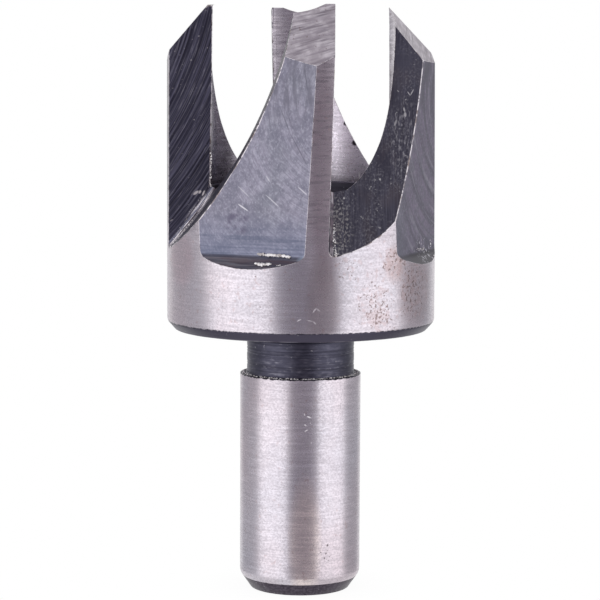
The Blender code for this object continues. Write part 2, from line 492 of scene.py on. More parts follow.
# %% Make the shape of a sharpened tip
# How each tip was sharpened: width left at the top, slope outward, slope away from the cutting face
# in degrees, and how much that last slope grows per mm outward
TIP_GRINDS = [
    (0.0, 46.3, 19.5, 0.02),
    (0.45, 50.0, 10.8, 0.045),
    (0.44, 49.1, 14.3, 0.045),
    (0.34, 51.5, 11.5, 0.045),
]
TIP_HALF_WIDTH = 3.9
TIP_INNER_END = 4.5
TIP_CUTS = 11


def sharpened_tip(tooth):
    width, outward, backward, growth = TIP_GRINDS[tooth]
    tip = math.sqrt(BORE_RADIUS ** 2 - FACE_LEAD ** 2) + width
    outer = HEAD_RADIUS + REACH
    slope = math.tan(math.radians(outward))
    highest = HEIGHT + (tip - TIP_INNER_END) * slope
    lowest = HEIGHT - (outer - tip) * slope
    bm = prism([(TIP_INNER_END, highest), (outer, lowest), (outer, highest)], TIP_HALF_WIDTH)
    bmesh.ops.subdivide_edges(bm, edges=bm.edges, cuts=TIP_CUTS, use_grid_fill=True)
    bmesh.ops.triangulate(bm, faces=bm.faces)
    for vertex in bm.verts:
        relief = math.tan(math.radians(backward)) + growth * (vertex.co.x - tip)
        vertex.co.z += (vertex.co.y - FACE_LEAD) * relief
    return bm


print("slopes of the tips in degrees:", [outward for width, outward, backward, growth in TIP_GRINDS])

# %% [markdown]
# Now the steel is cut. One Boolean modifier takes all four copies of a shape out at once, and the
# exact solver keeps the thin tips clean. It leaves the points and faces in another order on each
# run, though, and the wear that follows would then differ a little, so they are sorted.

# %% Cut the teeth
NEARLY_SIDEWAYS = 0.9


def cut_round(piece, make_shape, name, finish_of_face):
    """Make the shape for every tooth, turn it there and take all of them out of the piece in one cut."""
    ring = bmesh.new()
    for tooth in range(TEETH):
        shape = make_shape(tooth)
        bmesh.ops.recalc_face_normals(shape, faces=shape.faces)
        for face in shape.faces:
            face.material_index = finish_number(finish_of_face(face))
        single = bpy.data.meshes.new(name)
        shape.to_mesh(single)
        shape.free()
        single.transform(Matrix.Rotation(TOOTH_TURN * tooth, 4, "Z"))
        ring.from_mesh(single)
    bmesh.ops.recalc_face_normals(ring, faces=ring.faces)
    shapes = link_object(name, ring)
    for material in piece.data.materials:
        shapes.data.materials.append(material)
    boolean = piece.modifiers.new(name, "BOOLEAN")
    boolean.operation = "DIFFERENCE"
    boolean.solver = "EXACT"
    boolean.object = shapes
    return shapes


def apply_modifiers(piece):
    bpy.context.view_layer.update()
    evaluated = piece.evaluated_get(bpy.context.evaluated_depsgraph_get())
    mesh = bpy.data.meshes.new_from_object(evaluated)
    piece.modifiers.clear()
    piece.data = mesh


def put_in_order(mesh):
    """Sort the points and faces, and start each face at its first point."""
    order = sorted(range(len(mesh.vertices)), key=lambda i: mesh.vertices[i].co[:])
    number = {old: new for new, old in enumerate(order)}
    points = [mesh.vertices[i].co[:] for i in order]
    faces = []
    for polygon in mesh.polygons:
        corners = [number[i] for i in polygon.vertices]
        first = corners.index(min(corners))
        faces.append((corners[first:] + corners[:first], polygon.material_index))
    faces.sort()
    mesh.clear_geometry()
    mesh.from_pydata(points, [], [corners for corners, finish in faces])
    mesh.polygons.foreach_set("material_index", [finish for corners, finish in faces])


def side_or_rim(face):
    return "milled_face" if face.normal.y < -NEARLY_SIDEWAYS else "milled_floor"


shapes = [
    cut_round(cutter, lambda tooth: milling_disc(), "gullets", side_or_rim),
    cut_round(cutter, lambda tooth: grinding_flat(), "flats", lambda face: "flat"),
    cut_round(cutter, sharpened_tip, "tips", lambda face: "tip"),
]
apply_modifiers(cutter)
put_in_order(cutter.data)
for shape in shapes:
    bpy.data.objects.remove(shape, do_unlink=True)
print("after cutting:", len(cutter.data.polygons), "faces")

# %% [markdown]
# No real edge is perfectly sharp. Handling has worn the oxide off the edges, so they catch the light
# as thin bright lines of uneven width. A Bevel modifier makes that narrow strip. Its width comes from
# a weight on each edge, which is chosen by the two finishes that meet there and varied by noise.
# The cuts leave some points almost in one place, so these are merged first, and what the bevel
# leaves without width is merged after it.

# %% Wear the edges
WEAR_WIDTH = 0.25
CORNER_WEAR = 0.8
FOOT_WEAR = 0.9
FOOT_HEIGHT = 37.5
CLOSE_TO_TOP = 0.1
LEAST_WEAR = 0.1
SHARP_ANGLE = math.radians(28)
CLOSE_POINTS = 0.02
THIN_FACE = 0.005
SLIVER = 0.0005
# How worn an edge is between two finishes, named in the order of the alphabet
WEAR = {
    ("flat", "milled_floor"): 0.28,
    ("bore", "milled_face"): 0.38,
    ("bright", "milled_face"): 0.10,
    ("bright", "milled_floor"): 0.14,
    ("bore", "milled_floor"): 0.14,
    ("bright", "flat"): 0.06,
    ("milled_face", "tip"): 0.06,
    ("milled_floor", "tip"): 0.12,
    ("bore", "tip"): 0.10,
    ("flat", "tip"): 0.06,
    ("bright", "tip"): 0.08,
}

bm = bmesh.new()
bm.from_mesh(cutter.data)
bmesh.ops.remove_doubles(bm, verts=bm.verts, dist=CLOSE_POINTS)
bmesh.ops.dissolve_degenerate(bm, edges=bm.edges, dist=THIN_FACE)
weights = bm.edges.layers.float.new("bevel_weight_edge")
for edge in bm.edges:
    if len(edge.link_faces) != 2:
        continue
    finishes = tuple(sorted(FINISHES[face.material_index] for face in edge.link_faces))
    if finishes in WEAR:
        middle = (edge.verts[0].co + edge.verts[1].co) / 2
        waves = 0.7 * noise.noise(middle * 1.7) + 0.5 * noise.noise(middle * 5.0)
        uneven = max(LEAST_WEAR, 1.0 + waves)
        usual = WEAR[finishes]
        if middle.z > HEIGHT - CLOSE_TO_TOP and "milled_face" in finishes:
            usual = CORNER_WEAR
        elif middle.z < FOOT_HEIGHT and finishes == ("bore", "milled_face"):
            usual = FOOT_WEAR
        edge[weights] = min(1.0, usual * uneven)
bm.to_mesh(cutter.data)
bm.free()
cutter.data.shade_smooth()
cutter.data.set_sharp_from_angle(angle=SHARP_ANGLE)
bevel = cutter.modifiers.new("worn edges", "BEVEL")
bevel.limit_method = "WEIGHT"
bevel.width = WEAR_WIDTH
bevel.segments = 2
bevel.material = finish_number("worn")
bevel.use_clamp_overlap = False
bevel.harden_normals = True
apply_modifiers(cutter)

bm = bmesh.new()
bm.from_mesh(cutter.data)
bmesh.ops.remove_doubles(bm, verts=bm.verts, dist=SLIVER)
bmesh.ops.dissolve_degenerate(bm, edges=bm.edges, dist=SLIVER)
bm.to_mesh(cutter.data)
bm.free()
print("after wear:", len(cutter.data.polygons), "faces")

# %% [markdown]
# Tool marks follow the tool that cut them. The disc leaves rings on a cutting face and lines along a
# gullet's floor, the grinding wheel swings arcs over a flat, and the stone leaves slanted lines on a
# tip. So each face notes where it lies as seen from its own tool, and a mesh attribute carries that to
# the material, which could not work it out for four teeth at once. A second attribute holds the
# tooth's number, so that no two teeth look the same.

# %% Note where each face lies, seen from its tool
FLAT_SWING_ACROSS = 8.0
FLAT_SWING_HEIGHT = 40.4
TIP_TURN = math.radians(16)
GULLET_LEAST_X = 1.0
GULLET_LEAST_Y = 1.5


def tooth_of(polygon):
    """The number of the tooth whose tools cut the face."""
    finish = FINISHES[polygon.material_index]
    if finish in ("milled_face", "milled_floor"):
        for tooth in range(TEETH):
            place = Matrix.Rotation(-TOOTH_TURN * tooth, 3, "Z") @ polygon.center
            if place.x > GULLET_LEAST_X and place.y > GULLET_LEAST_Y:
                return tooth
    turned_back = {"flat": FLAT_TURN, "tip": TIP_TURN}.get(finish, 0.0)
    azimuth = math.atan2(polygon.normal.y, polygon.normal.x) + turned_back
    return round(azimuth / TOOTH_TURN) % TEETH


def seen_from_tool(finish, place):
    x, y, z = place
    if finish == "flat":
        across = x * math.sin(FLAT_TURN) + y * math.cos(FLAT_TURN)
        return Vector((across - FLAT_SWING_ACROSS, 0.0, z - FLAT_SWING_HEIGHT))
    if finish == "tip":
        return Vector((x, 0.0, y))
    if finish == "milled_floor":
        return Vector((y + (HEIGHT - z) * math.tan(FACE_LEAN), 0.0, z))
    return Vector((x + y * math.tan(DISC_SKEW), 0.0, z)) - DISC_PLACE


def note_tools(mesh):
    places = mesh.attributes.new("seen_from_tool", "FLOAT_VECTOR", "CORNER")
    numbers = mesh.attributes.new("tooth_number", "FLOAT", "FACE")
    for polygon in mesh.polygons:
        tooth = tooth_of(polygon)
        into_frame = Matrix.Rotation(-TOOTH_TURN * tooth, 3, "Z")
        numbers.data[polygon.index].value = tooth
        finish = FINISHES[polygon.material_index]
        for corner in polygon.loop_indices:
            vertex = mesh.vertices[mesh.loops[corner].vertex_index]
            places.data[corner].vector = seen_from_tool(finish, into_frame @ vertex.co)


note_tools(cutter.data)
print("marks noted on", len(cutter.data.polygons), "faces")

# %% [markdown]
# A mask says where a colour lies. Most come from noise that is stretched along the tool marks, and
# others from soft ellipsoids that hold a stain or a scratch at one place. Real tool marks are often a
# few hundredths of a millimetre apart, which would not show, so they are drawn about 0.1 mm apart.

# %% Helpers for masks
PER_TOOTH = 13.0  # moves the noise on from tooth to tooth
PATCH_CORE = 0.6
SPECK_EDGE = 0.06
CREEP_EDGE = 0.015
MARK_REACH = 0.6  # a little over half its length, because the ends are soft


def place_in_mm(tree):
    place = add(tree, "TexCoord").outputs["Object"]
    return add(tree, "VectorMath", {0: place, "Scale": 1 / MM}, operation="SCALE").outputs[0]


def marks_in_mm(tree, swung):
    """The place across the marks, along them, and the tooth's number. Swung marks are arcs."""
    seen = add(tree, "Attribute", attribute_name="seen_from_tool").outputs["Vector"]
    split = add(tree, "SeparateXYZ", {0: seen})
    across = split.outputs[0]
    if swung:
        across = add(tree, "VectorMath", {0: seen}, operation="LENGTH").outputs["Value"]
    tooth = add(tree, "Attribute", attribute_name="tooth_number").outputs["Fac"]
    return add(tree, "CombineXYZ", {0: across, 1: split.outputs[2], 2: tooth}).outputs[0]


def grain(tree, place, per_mm, low, high, most=1.0, detail=3.0):
    """Noise with a number of features per mm along each axis, as a mask from 0 to most."""
    scaled = add(tree, "VectorMath", {0: place, 1: per_mm}, operation="MULTIPLY")
    texture = add(tree, "TexNoise", {"Vector": scaled.outputs[0], "Scale": 1.0, "Detail": detail})
    return add(tree, "MapRange", {"Value": texture.outputs[0], "From Min": low, "From Max": high,
                                  "To Max": most}).outputs[0]


def ridges(tree, marks, per_mm, sharpness, most):
    """Thin even lines across the marks, slightly wavy, as a mask from 0 to most."""
    scale = per_mm * math.pi / 10  # a wave of scale 1 has 10 / pi lines in a unit
    wave = add(tree, "TexWave", {"Vector": marks, "Scale": scale, "Distortion": 2.0,
                                 "Detail": 2.0, "Detail Scale": 0.6})
    return add(tree, "MapRange", {"Value": wave.outputs["Fac"], "From Min": sharpness,
                                  "To Max": most}).outputs[0]


def patch(tree, place, centre, half_sizes, turned=(0, 0, 0), most=1.0):
    """A mask that is bright inside an ellipsoid and has a soft edge."""
    local = add(tree, "Mapping", {"Vector": place, "Location": centre, "Rotation": turned,
                                  "Scale": half_sizes}, vector_type="TEXTURE")
    far = add(tree, "VectorMath", {0: local.outputs[0]}, operation="LENGTH")
    return add(tree, "MapRange", {"Value": far.outputs["Value"], "From Min": 1.0,
                                  "From Max": PATCH_CORE, "To Max": most}).outputs[0]


def specks(tree, place, per_mm, threshold, most, zones=()):
    """Small dots where fine noise is highest, and more of them inside each zone."""
    value = add(tree, "TexNoise", {"Vector": place, "Scale": per_mm, "Detail": 1.0}).outputs[0]
    for centre, half_sizes, gain in zones:
        zone = patch(tree, place, centre, half_sizes, most=gain)
        value = add(tree, "Math", {0: value, 1: zone}, operation="ADD").outputs[0]
    return add(tree, "MapRange", {"Value": value, "From Min": threshold,
                                  "From Max": threshold + SPECK_EDGE, "To Max": most}).outputs[0]


def by_height(tree, place, start, full, most=1.0):
    """A mask that goes from 0 at one height to most at another."""
    height = add(tree, "SeparateXYZ", {0: place}).outputs[2]
    return add(tree, "MapRange", {"Value": height, "From Min": start, "From Max": full,
                                  "To Max": most}).outputs[0]


def creeping(tree, place, height, reach):
    """A mask that reaches unevenly far from a border at a height."""
    uneven = grain(tree, place, (3.5, 3.5, 0.5), 0.35, 0.75, reach, detail=5.0)
    z = add(tree, "SeparateXYZ", {0: place}).outputs[2]
    from_border = add(tree, "Math", {0: z, 1: height}, operation="SUBTRACT").outputs[0]
    away = add(tree, "Math", {0: from_border}, operation="ABSOLUTE").outputs[0]
    inside = add(tree, "Math", {0: uneven, 1: away}, operation="SUBTRACT").outputs[0]
    return add(tree, "MapRange", {"Value": inside, "From Min": -CREEP_EDGE,
                                  "From Max": CREEP_EDGE}).outputs[0]


def scratches(tree, place, marks, depth=0.5):
    """Thin straight marks, each from one point to another, with its half width and strength."""
    together = None
    for start, end, half_width, most in marks:
        start, end = Vector(start), Vector(end)
        way = end - start
        turned = way.to_track_quat("X", "Z").to_euler()
        sizes = (way.length * MARK_REACH, depth, half_width)
        mark = patch(tree, place, (start + end) / 2, sizes, turned, most)
        if together:
            mark = add(tree, "Math", {0: together, 1: mark}, operation="MAXIMUM").outputs[0]
        together = mark
    return together


print("kinds of mask:", ", ".join(kind.__name__ for kind in (grain, ridges, patch, specks, scratches)))

# %% [markdown]
# Every finish is painted in the same way: a plain colour, then coats of other colours over it, each
# only where its masks are bright. It is closed by one metal shader with a shallow relief, a few
# thousandths of a millimetre deep, that follows the tool marks.

# %% Helpers for coats
def new_finish(name, slot):
    print("finish:", name)
    material = new_material(name)
    cutter.data.materials[finish_number(slot)] = material
    return material.node_tree


def painted(tree, color, coats):
    """Lay coats over a colour. Each coat is a colour and the masks that must all be bright."""
    result = linear(color)
    for coat_color, where, *more in coats:
        for mask in more:
            where = add(tree, "Math", {0: where, 1: mask}, operation="MULTIPLY").outputs[0]
        result = add(tree, "Mix", {0: where, MIX_A: result, MIX_B: linear(coat_color)},
                     data_type="RGBA").outputs[MIX_RESULT]
    return result


def set_metal(tree, color, roughness, relief, depth):
    """Close a metal finish. The relief's depth is in mm, from its lowest to its highest."""
    bump = add(tree, "Bump", {"Height": relief, "Distance": depth * MM, "Strength": 1.0})
    shader = add(tree, "BsdfPrincipled", {"Base Color": color, "Metallic": 1.0, "Roughness": roughness,
                                          "Normal": bump.outputs[0]})
    add(tree, "OutputMaterial", {"Surface": shader.outputs[0]})


print("finishes to paint:", len(FINISHES))

# %% [markdown]
# Ground tool steel is bright and slightly pink. The grinding wheel leaves fine lines round the tool,
# and years in a drawer leave brown specks of rust and a few dark pits, mostly where it was touched.
# At its borders the black of the hardening creeps a little way over the bright steel.
# The far wall of the bore is brightened with painted light.

# %% Finish the ground outside and the bore
RUST_ZONES = [
    ((7.3, -8.4, 28.0), (1.5, 1.5, 1.5), 0.12),
    ((3.4, -10.5, 27.6), (1.4, 1.2, 1.4), 0.13),
    ((5.6, -9.6, 24.7), (2.2, 1.8, 2.2), 0.10),
    ((9.2, -6.2, 25.6), (2.4, 2.8, 3.4), 0.125),
    ((6.0, -9.3, 23.3), (2.4, 2.0, 1.3), 0.08),
    ((7.2, -8.4, 26.0), (4.4, 4.0, 4.4), 0.075),
    ((-4.5, -10.0, 25.5), (4.5, 2.4, 3.5), 0.04),
]
PIT_ZONES = [((2.5, -4.3, 4.0), (1.3, 1.2, 1.7), 0.13)]
# Soft stains and patches of painted light: colour, centre, half sizes and strength
STAINS_AND_PAINTED_LIGHT = [
    ("#A4929B", (1.6, -10.8, 35.0), (1.4, 1.3, 11.0), 0.65),
    ("#888C9E", (-0.9, -10.9, 25.2), (2.0, 1.2, 4.5), 0.30),
    ("#8E7A7A", (1.5, -10.8, 24.8), (1.6, 1.2, 4.5), 0.42),
    ("#F6E6E2", (0.3, -4.9, 4.5), (1.5, 1.5, 6.0), 0.8),
    # A dark strip down the outer edge of the left tooth
    ("#55525E", (-11.0, -1.4, 40.0), (0.6, 1.0, 12.0), 1.0),
    ("#A48C90", (9.2, -6.2, 25.6), (2.6, 3.4, 4.2), 0.5),
    ("#AE908C", (7.3, -8.4, 27.7), (1.3, 1.3, 1.8), 0.5),
    ("#C2A6AE", (-9.8, -5.0, 28.0), (1.8, 3.2, 2.8), 0.5),
    # Painted light: the next two near-white patches brighten the far wall of the bore
    ("#FBF2FF", (4.4, 6.2, 36.0), (3.0, 3.0, 8.0), 0.85),
    ("#FBF2FF", (-2.2, 7.3, 39.0), (2.0, 2.0, 5.0), 0.5),
]
# The height of each border with the black, and how far the black creeps from it
END_BORDER = (END_CHAMFER_HEIGHT - 0.36, 0.16)
SHOULDER_BORDER = (SHANK_LENGTH - 0.04, 0.10)
HEAD_BORDER = (HEAD_BOTTOM + UNDERSIDE_CHAMFER_HEIGHT, 0.06)
GRIT_MOST = 0.36
SCRATCH_ROUGHNESS = 0.35


def ground_steel(name, slot, color, line_color, line_strength):
    tree = new_finish(name, slot)
    place = place_in_mm(tree)
    lines = grain(tree, place, (0.45, 0.45, 7.0), 0.38, 0.62, line_strength)
    bands = grain(tree, place, (0.3, 0.3, 2.4), 0.35, 0.65, line_strength * 0.5)
    grit = grain(tree, place, (5.5, 5.5, 7.0), 0.40, 0.62, GRIT_MOST)
    streaks = grain(tree, place, (0.7, 0.7, 4.5), 0.50, 0.62, 0.6)
    above_ring = by_height(tree, place, 29.0, 31.0)
    inside = patch(tree, place, (0, 0, HEIGHT), (10.4, 10.4, 60.0), most=1.4)
    ledge_height = HEIGHT - BORE_GROUND_DEPTH - BORE_LEDGE_DROP
    near_ledge = patch(tree, place, (0, 0, ledge_height), (90.0, 90.0, 0.55), most=0.45)
    pink = grain(tree, place, (0.16, 0.16, 0.11), 0.45, 0.65, 0.5)
    blue = grain(tree, place, (0.22, 0.17, 0.13), 0.55, 0.35, 0.3)
    stains_and_painted_light = [(patch_color, patch(tree, place, *where, most=most)) for patch_color, *where, most in STAINS_AND_PAINTED_LIGHT]
    light = scratches(tree, place, [
        ((0.21, -4.99, 15.27), (0.25, -4.99, 15.07), 0.05, 0.7),
        ((0.42, -4.98, 15.02), (0.76, -4.95, 14.91), 0.07, 1.0),
        ((0.20, -4.99, 14.36), (0.39, -4.98, 14.24), 0.06, 0.8),
        ((0.66, -4.96, 14.44), (0.74, -4.95, 14.50), 0.05, 0.7),
        ((0.23, -4.99, 13.78), (0.53, -4.97, 13.94), 0.06, 0.8),
        ((0.76, -4.95, 12.89), (0.80, -4.94, 12.78), 0.05, 0.7),
        ((0.68, -11.03, 24.13), (0.94, -11.01, 24.50), 0.06, 0.6),
        ((0.94, -11.01, 24.50), (1.26, -10.98, 24.23), 0.06, 0.4),
        ((-0.56, -11.03, 23.45), (-0.21, -11.05, 23.66), 0.06, 0.6),
        ((0.22, -11.05, 23.56), (0.73, -11.02, 23.45), 0.05, 0.4),
        ((0.73, -11.02, 23.45), (0.95, -11.01, 23.24), 0.06, 0.5),
        ((5.07, 5.72, 33.6), (5.07, 5.72, 34.4), 0.05, 0.8),
    ])
    color = painted(tree, color, [
        ("#C4B2B9", pink),
        ("#B9BECB", blue),
        *stains_and_painted_light,
        (line_color, lines),
        (line_color, bands),
        ("#8F8890", streaks, above_ring),
        ("#938D94", grit),
        # Painted light: a near-white patch that brightens the far wall of the bore
        ("#FBF2FF", patch(tree, place, (4.4, 6.2, 35.0), (3.0, 3.0, 7.0), most=0.55)),
        ("#51464F", near_ledge, inside),
        ("#403A42", patch(tree, place, (4.66, 6.06, 36.80), (0.34, 0.34, 0.30))),
        ("#403A42", patch(tree, place, (3.88, 6.60, 38.42), (0.22, 0.22, 0.20))),
        ("#A98C8A", specks(tree, place, 2.3, 0.68, 0.27, RUST_ZONES)),
        ("#6C5955", specks(tree, place, 4.7, 0.765, 0.70, RUST_ZONES)),
        ("#453C3E", specks(tree, place, 3.4, 0.785, 0.8, PIT_ZONES)),
        ("#3C3640", creeping(tree, place, *END_BORDER)),
        ("#3C3A44", creeping(tree, place, *HEAD_BORDER)),
        ("#34303A", creeping(tree, place, *SHOULDER_BORDER)),
        ("#F0ECF0", light),
    ])
    plain = add(tree, "MapRange", {"Value": grit, "From Max": GRIT_MOST, "To Min": 0.27, "To Max": 0.34})
    roughness = add(tree, "Math", {0: light, 1: SCRATCH_ROUGHNESS, 2: plain.outputs[0]},
                    operation="MULTIPLY_ADD")
    set_metal(tree, color, roughness.outputs[0], lines, 0.0015)


ground_steel("ground_tool_steel", "bright", "#DAD2DA", "#A49DA4", 0.36)
ground_steel("ground_tool_steel_bore", "bore", "#DFD8E0", "#938C98", 0.62)

# %% [markdown]
# Hardening leaves black oxide wherever no wheel has touched the steel since. On the lathe-turned
# places it lies over the turning tool's fine rings, so it shows as dark lines with lighter crests.
# The crests are lighter only low on the neck, which is painted light, and left out under the head,
# as painted shade.

# %% Finish the blackened turned places
tree = new_finish("black_oxide_turned_steel", "turned_black")
place = place_in_mm(tree)
rings = grain(tree, place, (0.15, 0.15, 9.0), 0.35, 0.65)
dark_rings = grain(tree, place, (0.2, 0.2, 6.0), 0.5, 0.65, 0.6)
rubbed = grain(tree, place, (1.6, 1.6, 3.5), 0.45, 0.7, 0.7)
crests = grain(tree, place, (0.6, 0.6, 10.0), 0.48, 0.62)
painted_light_low_on_neck = by_height(tree, place, 20.2, 19.4)
rim = by_height(tree, place, 21.8, 21.74)
past_rim = by_height(tree, place, 21.6, 21.7)
at_end = by_height(tree, place, 1.9, 1.8)
in_bore = by_height(tree, place, 24.0, 25.0)
color = painted(tree, "#4A4957", [
    ("#6A6877", rings, rubbed),
    # Painted light: the lighter crests only low on the neck, with painted shade under the head above them
    ("#8E8C97", crests, rubbed, painted_light_low_on_neck),
    ("#32313C", dark_rings),
    ("#484453", past_rim),
    ("#5C5965", in_bore),
    ("#3D3641", at_end),
    ("#5A525E", grain(tree, place, (5.0, 5.0, 5.0), 0.45, 0.65, 0.8), at_end),
    ("#8E8C96", rim, past_rim, grain(tree, place, (0.8, 0.8, 0.8), 0.4, 0.6, 0.6)),
    ("#A9A6AC", specks(tree, place, 4.5, 0.735, 0.7)),
])
set_metal(tree, color, 0.40, rings, 0.004)

# %% [markdown]
# The milled surfaces are black too. The disc's side leaves thin light rings on the cutting faces.
# Dried dust lies in a band along the foot of the left one.

# %% Finish the milled cutting faces
CRUST_BAND = [
    ((-7.25, -2.3, 33.4), (-10.8, -2.3, 28.5), 0.55, 1.0),
    ((-7.1, -3.2, 33.2), (-10.6, -3.2, 28.7), 0.6, 1.0),
]

tree = new_finish("black_oxide_milled_face", "milled_face")
place = place_in_mm(tree)
marks = marks_in_mm(tree, swung=True)
rings = ridges(tree, marks, 3.4, 0.6, 0.50)
streaks = grain(tree, marks, (6.5, 0.7, PER_TOOTH), 0.46, 0.56)
flecks = scratches(tree, place, [
    ((-8.84, -2.02, 32.83), (-8.44, -2.02, 33.14), 0.13, 1.0),
    ((-8.40, -2.02, 32.93), (-8.22, -2.02, 33.18), 0.11, 1.0),
    ((-8.12, -2.02, 32.74), (-7.92, -2.02, 33.18), 0.09, 1.0),
])
wide_rings = grain(tree, marks, (1.2, 0.05, PER_TOOTH), 0.4, 0.65, 0.25, detail=2.0)
fine_rings = grain(tree, marks, (9.0, 0.12, PER_TOOTH), 0.46, 0.60, 0.65, detail=2.0)
fading = grain(tree, marks, (1.1, 0.3, PER_TOOTH), 0.35, 0.6, 0.9)
color = painted(tree, "#3C3B49", [
    ("#67677C", wide_rings),
    ("#94939F", rings, fading),
    ("#76758A", fine_rings),
    ("#2B2935", grain(tree, marks, (6.5, 0.16, PER_TOOTH), 0.52, 0.62, 0.50)),
    ("#9C9AA6", grain(tree, marks, (11.0, 0.6, PER_TOOTH), 0.60, 0.68, 0.6)),
    ("#E6E1E6", streaks, scratches(tree, place, CRUST_BAND)),
    ("#B5B2B6", specks(tree, marks, 4.0, 0.715, 0.8)),
    ("#DAD5D6", flecks),
])
set_metal(tree, color, 0.40, fine_rings, 0.003)

# %% [markdown]
# The disc's rim leaves close lines along the gullets' floors, where pale dust has settled in the
# oxide. Wood chips slide up these floors, so the right one is rubbed and marred, and the rounded
# corner beside each cutting face is brown and dusty.

# %% Finish the floors of the gullets
CORNER_CRUST = ((2.6, -9.0, 30.5), (1.4, 3.0, 3.6))
WORN_SIDE = ((8.2, -4.6, 37.0), (1.5, 3.0, 6.0))

tree = new_finish("black_oxide_milled_floor", "milled_floor")
place = place_in_mm(tree)
marks = marks_in_mm(tree, swung=False)
lines = grain(tree, marks, (6.5, 0.35, PER_TOOTH), 0.4, 0.7, 0.6, detail=2.0)
dusty = grain(tree, marks, (0.45, 0.3, PER_TOOTH), 0.42, 0.62, 0.8)
dust = grain(tree, marks, (6.0, 5.0, PER_TOOTH), 0.48, 0.74, 0.6, detail=4.0)
rubs = grain(tree, marks, (6.0, 2.0, PER_TOOTH), 0.52, 0.68, 0.65, detail=5.0)
flecks = specks(tree, place, 3.8, 0.70, 0.85)
from_face = add(tree, "SeparateXYZ", {0: marks}).outputs[0]
fillet = add(tree, "MapRange", {"Value": from_face, "From Min": FACE_LEAD + DISC_CORNER,
                               "From Max": FACE_LEAD + 0.7 * DISC_CORNER}).outputs[0]
streaks = grain(tree, marks, (7.5, 0.7, PER_TOOTH), 0.46, 0.56)
brown = grain(tree, marks, (0.5, 0.25, PER_TOOTH), 0.5, 0.75, 0.4)
marred = scratches(tree, place, [
    ((8.52, -2.59, 41.28), (8.74, -2.70, 40.96), 0.045, 0.8),
    ((8.74, -2.70, 40.96), (9.03, -2.49, 41.47), 0.045, 0.8),
    ((7.67, -2.59, 41.40), (7.83, -2.64, 41.24), 0.05, 0.5),
    ((8.17, -3.12, 40.00), (8.29, -3.27, 39.64), 0.06, 0.7),
    ((8.29, -3.27, 39.64), (8.30, -3.44, 39.24), 0.05, 0.7),
    ((7.61, -3.57, 39.04), (7.39, -3.82, 38.53), 0.08, 0.5),
], depth=0.12)
color = painted(tree, "#3B3945", [
    ("#575563", lines),
    ("#5C5B6A", patch(tree, place, (8.8, -3.2, 44.5), (2.6, 3.0, 4.5), most=0.4)),
    ("#574B4B", brown),
    ("#8F8C93", dust, dusty),
    ("#B4B0AF", dust, patch(tree, place, *CORNER_CRUST)),
    ("#99969E", rubs, patch(tree, place, *WORN_SIDE)),
    ("#C6C3C6", flecks, dusty),
    ("#6B606A", fillet, grain(tree, place, (1.4, 1.4, 1.4), 0.35, 0.6, 0.9)),
    ("#A29BA3", fillet, streaks, grain(tree, place, (1.0, 1.0, 1.0), 0.4, 0.55)),
    ("#F4EFF4", streaks, scratches(tree, place, CRUST_BAND)),
    ("#B4B1B6", marred),
])
set_metal(tree, color, 0.45, lines, 0.003)

# %% [markdown]
# The flats were ground after milling, then blued by the heat of hardening, so they are a middle grey
# with a blue cast. The wheel's arcs show faintly under years of small scuffs, and the foot of each
# flat stayed dark.

# %% Finish the flats
tree = new_finish("blued_ground_flat", "flat")
place = place_in_mm(tree)
marks = marks_in_mm(tree, swung=True)
arcs = grain(tree, marks, (2.4, 0.12, PER_TOOTH), 0.38, 0.62, 0.40, detail=4.0)
fine_arcs = grain(tree, marks, (8.0, 0.4, PER_TOOTH), 0.40, 0.60, 0.50)
scuffs = grain(tree, place, (2.2, 2.2, 2.2), 0.42, 0.62, 0.6, detail=6.0)
pale_scuffs = grain(tree, place, (6.5, 6.5, 5.0), 0.50, 0.70, 0.4)
upright = grain(tree, place, (2.8, 2.8, 0.5), 0.4, 0.60, 0.7)
cloudy = grain(tree, place, (0.6, 0.6, 0.6), 0.42, 0.62, 0.6)
greenish = grain(tree, place, (0.3, 0.3, 0.2), 0.5, 0.65, 0.12)
high = by_height(tree, place, 38.5, 40.5)
low = by_height(tree, place, 32.0, 28.5, most=0.45)
# The tooth on the right is number 0 and kept almost none of its blue
tooth = add(tree, "Attribute", attribute_name="tooth_number").outputs["Fac"]
blued = add(tree, "MapRange", {"Value": tooth, "From Max": 1.0, "To Min": 0.12}).outputs[0]
runout = by_height(tree, place, 28.4, 28.2, most=0.9)
foot_lines = grain(tree, place, (0.2, 0.2, 5.0), 0.48, 0.60, 0.5)
foot_band = by_height(tree, place, 31.0, 29.8)
runout_lines = grain(tree, place, (0.3, 0.3, 8.0), 0.45, 0.6, 0.7)
light = scratches(tree, place, [
    ((-5.18, -8.60, 33.91), (-4.31, -9.00, 33.07), 0.06, 0.25),
    ((-2.98, -9.58, 33.26), (-1.96, -10.06, 32.36), 0.06, 0.35),
    ((-5.17, -8.64, 32.49), (-4.39, -9.00, 31.97), 0.07, 0.55),
    ((-2.98, -9.54, 34.75), (-2.67, -9.69, 34.29), 0.06, 0.3),
    ((-0.50, -10.66, 33.96), (0.20, -10.98, 33.35), 0.06, 0.4),
])
dark = scratches(tree, place, [
    ((-1.91, -9.86, 40.14), (-1.13, -10.26, 38.14), 0.05, 0.6),
    ((-1.13, -10.26, 38.14), (0.26, -10.95, 35.53), 0.05, 0.6),
    ((-1.55, -10.0, 40.1), (-0.8, -10.4, 38.2), 0.04, 0.35),
    ((-0.8, -10.4, 38.2), (0.3, -10.9, 36.2), 0.04, 0.35),
    ((-0.07, -10.59, 43.2), (0.3, -10.8, 41.1), 0.05, 0.5),
])
smudge = grain(tree, place, (1.8, 1.8, 1.8), 0.42, 0.60, 0.8)
right_side = patch(tree, place, (9.9, -2.6, 34.0), (4.0, 6.0, 22.0), most=0.45)
lower_right = patch(tree, place, (9.9, -3.0, 28.3), (1.6, 2.3, 1.5))
smudged = patch(tree, place, (-5.2, -8.6, 31.0), (1.3, 1.3, 1.2))
